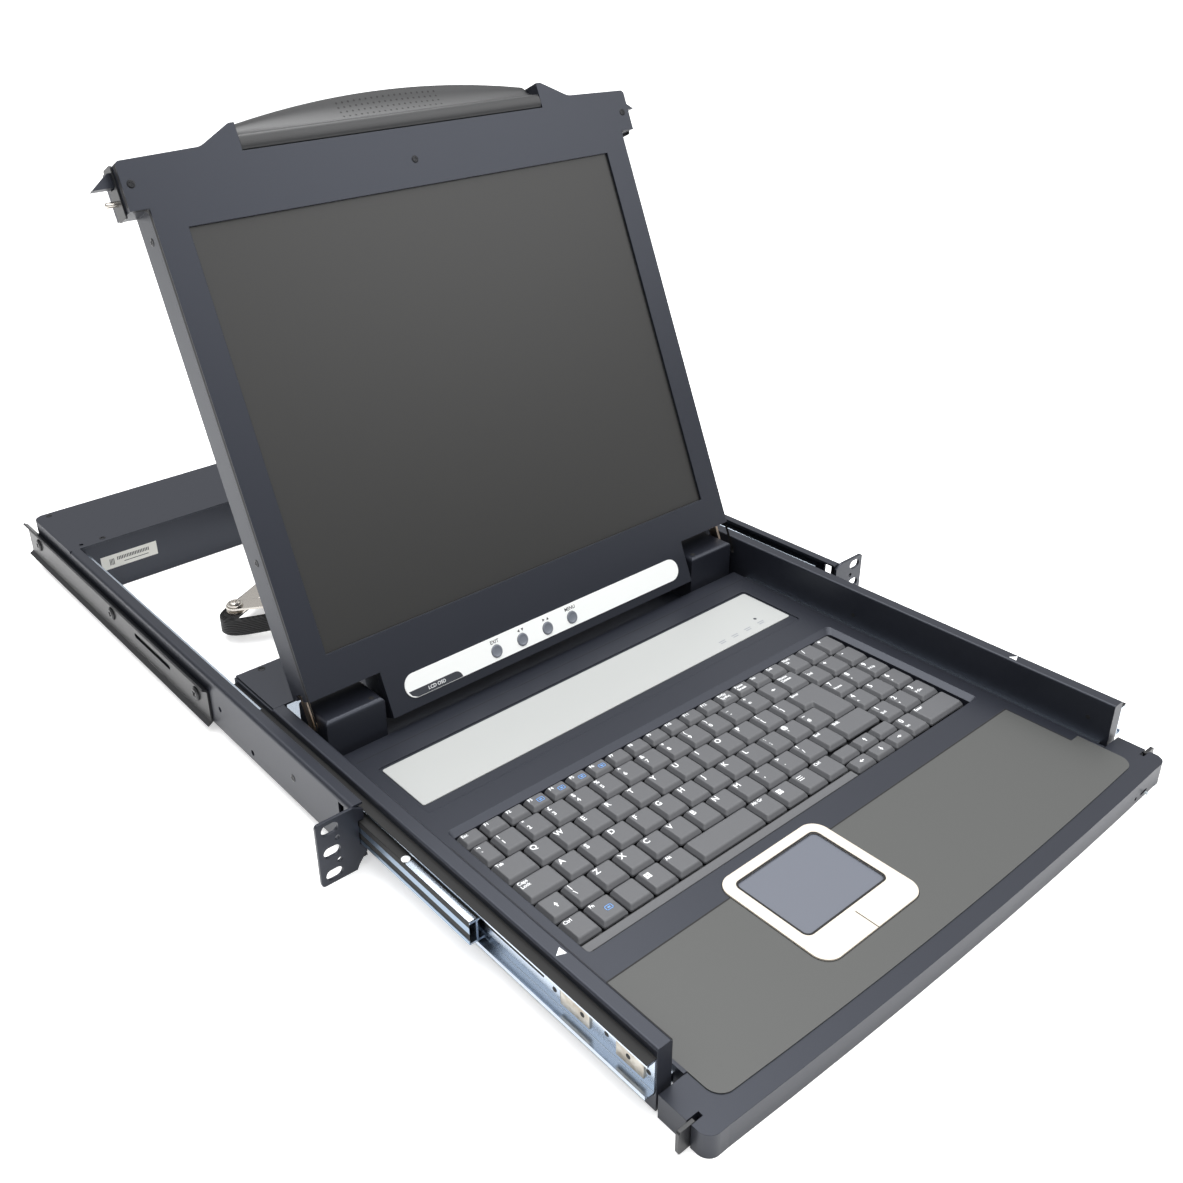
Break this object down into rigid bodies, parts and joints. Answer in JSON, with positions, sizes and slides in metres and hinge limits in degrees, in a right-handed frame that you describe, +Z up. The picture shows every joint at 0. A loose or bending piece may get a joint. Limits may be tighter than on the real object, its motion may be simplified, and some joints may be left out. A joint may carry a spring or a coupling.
{
  "type": "rackmount lcd console drawer",
  "caption": "Rack drawer with a tilting flat display, a sliding keyboard tray with touchpad, ball slides, rack ears, a rear box and a folding cable arm.",
  "frame": {"origin": "on the underside of the keyboard tray, midway between the rack ears, in the plane of the ears' front face", "axes": "+X to the user's right across the rack, +Y towards the rear of the rack, +Z up"},
  "size_m": [0.4826, 0.778, 0.3832],
  "materials": {
    "powder_coat": "fine satin texture",
    "black_steel": "satin",
    "zinc_steel": "bright zinc",
    "yellow_zinc": "yellow zinc",
    "nickel_steel": "bright nickel",
    "circuit_board": "solder mask",
    "black_plastic": "satin",
    "key_plastic": "fine matt texture",
    "palm_film": "matt film",
    "white_film": "satin film",
    "champagne_plastic": "satin",
    "pad_plastic": "matt",
    "screen_glass": "anti-glare",
    "grey_film": "satin film",
    "button_plastic": "satin",
    "braided_sleeve": "braided"
  },
  "bodies": {
    "chassis": {"rail_left": "powder_coat", "rail_right": "powder_coat", "rear_box": "powder_coat", "rear_cover": "powder_coat", "rear_board": "circuit_board", "rear_ports": "black_plastic", "rear_brackets": "black_steel", "bracket_screws": "zinc_steel", "slide_fixed": "zinc_steel"},
    "middle_slides": {"slide_middle": "zinc_steel"},
    "front_retainers": {"ball_retainer_front": "zinc_steel"},
    "rear_retainers": {"ball_retainer_rear": "zinc_steel"},
    "console": {"wall_left": "powder_coat", "wall_right": "powder_coat", "rear_deck": "powder_coat", "hinge_covers": "powder_coat", "hinge_brackets": "zinc_steel", "slide_drawer": "zinc_steel", "latch_plates": "yellow_zinc", "keyboard_guide_outer": "zinc_steel"},
    "keyboard_module": {"bottom_pan": "powder_coat", "tray_cover": "powder_coat", "palm_inlay": "palm_film", "status_plate": "white_film", "keyboard_plate": "black_plastic", "touchpad_bezel": "champagne_plastic", "touchpad": "pad_plastic", "control_board": "circuit_board", "keyboard_guide_inner": "zinc_steel"},
    "display": {"lcd_bezel": "powder_coat", "lcd_shell": "powder_coat", "screen": "screen_glass", "lcd_board": "circuit_board", "osd_plate": "grey_film", "handle": "black_plastic", "catch_brackets": "black_steel", "hinge_leaves": "yellow_zinc"},
    "rear_link": {"arm_rear": "nickel_steel", "sleeve_rear": "braided_sleeve"},
    "front_link": {"arm_front": "nickel_steel", "sleeve_front": "braided_sleeve"},
    "keys_function": {"keys_function": "key_plastic"},
    "keys_number": {"keys_number": "key_plastic"},
    "keys_upper": {"keys_upper": "key_plastic"},
    "keys_home": {"keys_home": "key_plastic"},
    "keys_lower": {"keys_lower": "key_plastic"},
    "keys_bottom": {"keys_bottom": "key_plastic"},
    "space_bar": {"space_bar": "key_plastic"},
    "keys_arrow": {"keys_arrow": "key_plastic"},
    "keys_numpad": {"keys_numpad": "key_plastic"},
    "osd_button_exit": {"osd_button_exit": "button_plastic"},
    "osd_button_down": {"osd_button_down": "button_plastic"},
    "osd_button_up": {"osd_button_up": "button_plastic"},
    "osd_button_menu": {"osd_button_menu": "button_plastic"},
    "touch_button_left": {"touch_button_left": "champagne_plastic"},
    "touch_button_right": {"touch_button_right": "champagne_plastic"},
    "keyboard_catch_left": {"keyboard_catch_left": "black_steel"},
    "keyboard_catch_right": {"keyboard_catch_right": "black_steel"},
    "lcd_catch_left": {"lcd_catch_left": "nickel_steel"},
    "lcd_catch_right": {"lcd_catch_right": "nickel_steel"}
  },
  "joints": [
    {"name": "console_slide", "type": "slide", "parent": "chassis", "child": "console", "axis": [0, 1, 0], "range_m": [0, 0.246]},
    {"name": "middle_slide", "type": "slide", "parent": "chassis", "child": "middle_slides", "axis": [0, 1, 0], "range_m": [0, 0.123]},
    {"name": "front_retainer_slide", "type": "slide", "parent": "chassis", "child": "front_retainers", "axis": [0, 1, 0], "range_m": [0, 0.1845]},
    {"name": "rear_retainer_slide", "type": "slide", "parent": "chassis", "child": "rear_retainers", "axis": [0, 1, 0], "range_m": [0, 0.0615]},
    {"name": "keyboard_slide", "type": "slide", "parent": "console", "child": "keyboard_module", "axis": [0, 1, 0], "range_m": [-0.18, 0]},
    {"name": "lcd_tilt", "type": "hinge", "parent": "console", "child": "display", "pos_m": [0, 0.0971, 0.033], "axis": [1, 0, 0], "range_deg": [-5, 113.8]},
    {"name": "rear_link_turn", "type": "hinge", "parent": "chassis", "child": "rear_link", "pos_m": [0.06, 0.402, 0.02], "axis": [0, 0, 1], "range_deg": [-31.2, 0]},
    {"name": "elbow_turn", "type": "hinge", "parent": "rear_link", "child": "front_link", "pos_m": [-0.145, 0.283, 0.024], "axis": [0, 0, 1], "range_deg": [0, 62.4]},
    {"name": "keys_function_press", "type": "slide", "parent": "keyboard_module", "child": "keys_function", "axis": [0, 0, -1], "range_m": [0, 0.0025], "stiffness_N_per_m": 400},
    {"name": "keys_number_press", "type": "slide", "parent": "keyboard_module", "child": "keys_number", "axis": [0, 0, -1], "range_m": [0, 0.0025], "stiffness_N_per_m": 400},
    {"name": "keys_upper_press", "type": "slide", "parent": "keyboard_module", "child": "keys_upper", "axis": [0, 0, -1], "range_m": [0, 0.0025], "stiffness_N_per_m": 400},
    {"name": "keys_home_press", "type": "slide", "parent": "keyboard_module", "child": "keys_home", "axis": [0, 0, -1], "range_m": [0, 0.0025], "stiffness_N_per_m": 400},
    {"name": "keys_lower_press", "type": "slide", "parent": "keyboard_module", "child": "keys_lower", "axis": [0, 0, -1], "range_m": [0, 0.0025], "stiffness_N_per_m": 400},
    {"name": "keys_bottom_press", "type": "slide", "parent": "keyboard_module", "child": "keys_bottom", "axis": [0, 0, -1], "range_m": [0, 0.0025], "stiffness_N_per_m": 400},
    {"name": "space_bar_press", "type": "slide", "parent": "keyboard_module", "child": "space_bar", "axis": [0, 0, -1], "range_m": [0, 0.0025], "stiffness_N_per_m": 400},
    {"name": "keys_arrow_press", "type": "slide", "parent": "keyboard_module", "child": "keys_arrow", "axis": [0, 0, -1], "range_m": [0, 0.0025], "stiffness_N_per_m": 400},
    {"name": "keys_numpad_press", "type": "slide", "parent": "keyboard_module", "child": "keys_numpad", "axis": [0, 0, -1], "range_m": [0, 0.0025], "stiffness_N_per_m": 400},
    {"name": "touch_button_left_press", "type": "slide", "parent": "keyboard_module", "child": "touch_button_left", "axis": [0, 0, -1], "range_m": [0, 0.0004], "stiffness_N_per_m": 1500},
    {"name": "touch_button_right_press", "type": "slide", "parent": "keyboard_module", "child": "touch_button_right", "axis": [0, 0, -1], "range_m": [0, 0.0004], "stiffness_N_per_m": 1500},
    {"name": "osd_button_exit_press", "type": "slide", "parent": "display", "child": "osd_button_exit", "axis": [0, 0.915, -0.4035], "range_m": [0, 0.001], "stiffness_N_per_m": 1000},
    {"name": "osd_button_down_press", "type": "slide", "parent": "display", "child": "osd_button_down", "axis": [0, 0.915, -0.4035], "range_m": [0, 0.001], "stiffness_N_per_m": 1000},
    {"name": "osd_button_up_press", "type": "slide", "parent": "display", "child": "osd_button_up", "axis": [0, 0.915, -0.4035], "range_m": [0, 0.001], "stiffness_N_per_m": 1000},
    {"name": "osd_button_menu_press", "type": "slide", "parent": "display", "child": "osd_button_menu", "axis": [0, 0.915, -0.4035], "range_m": [0, 0.001], "stiffness_N_per_m": 1000},
    {"name": "keyboard_catch_left_slide", "type": "slide", "parent": "keyboard_module", "child": "keyboard_catch_left", "axis": [1, 0, 0], "range_m": [0, 0.0035], "stiffness_N_per_m": 600},
    {"name": "keyboard_catch_right_slide", "type": "slide", "parent": "keyboard_module", "child": "keyboard_catch_right", "axis": [-1, 0, 0], "range_m": [0, 0.0035], "stiffness_N_per_m": 600},
    {"name": "lcd_catch_left_slide", "type": "slide", "parent": "display", "child": "lcd_catch_left", "axis": [1, 0, 0], "range_m": [0, 0.004], "stiffness_N_per_m": 600},
    {"name": "lcd_catch_right_slide", "type": "slide", "parent": "display", "child": "lcd_catch_right", "axis": [-1, 0, 0], "range_m": [0, 0.004], "stiffness_N_per_m": 600}
  ],
  "couplings": [
    {"joint": "middle_slide", "follows": "console_slide", "ratio": 0.5},
    {"joint": "front_retainer_slide", "follows": "console_slide", "ratio": 0.75},
    {"joint": "rear_retainer_slide", "follows": "console_slide", "ratio": 0.25},
    {"joint": "rear_link_turn", "follows": "console_slide", "rad_per_m": -2.2066},
    {"joint": "elbow_turn", "follows": "console_slide", "rad_per_m": 4.4132}
  ]
}
